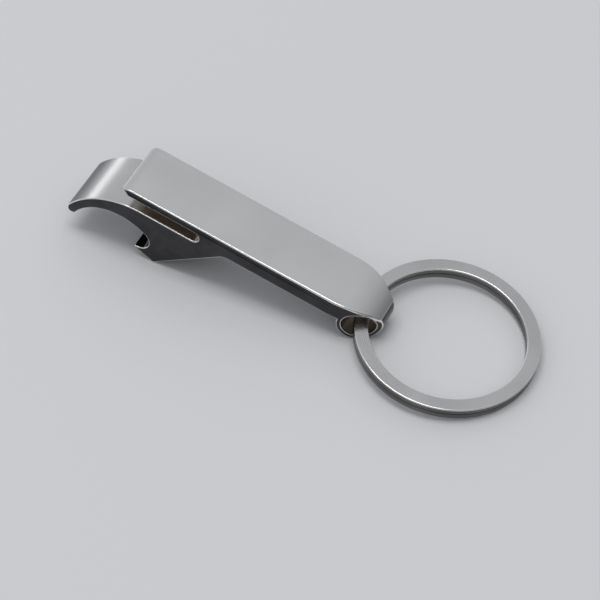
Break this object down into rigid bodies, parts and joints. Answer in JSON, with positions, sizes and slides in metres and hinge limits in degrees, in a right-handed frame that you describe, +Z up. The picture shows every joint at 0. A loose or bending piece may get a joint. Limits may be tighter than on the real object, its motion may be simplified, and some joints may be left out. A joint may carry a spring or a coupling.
{
  "type": "keychain bottle opener",
  "caption": "Pocket crown-cap opener: flat top leaf over a clip slot, curved nose and tooth below, and a flat split key ring through the tail eyelet.",
  "frame": {"origin": "bottom centre of the bounding box, on the surface the opener lies on", "axes": "+X along the opener from the nose to the key ring, +Y across its width, +Z up"},
  "size_m": [0.0854, 0.032, 0.016],
  "materials": {
    "opener_nickel": "bright nickel plate: satin on the flat top, mirror polished on the sides, nose and tooth, with soft bright edges",
    "ring_nickel": "nickel-plated spring steel, polished, with fine lines running round the flat faces"
  },
  "bodies": {
    "opener": {"opener_body": "opener_nickel"},
    "key_ring": {"split_ring": "ring_nickel"}
  },
  "joints": [
    {"name": "ring_swing", "type": "hinge", "parent": "opener", "child": "key_ring", "pos_m": [0.01282, -0.0018, 0.00381], "axis": [0, -1, 0], "range_deg": [-172, 160]}
  ]
}
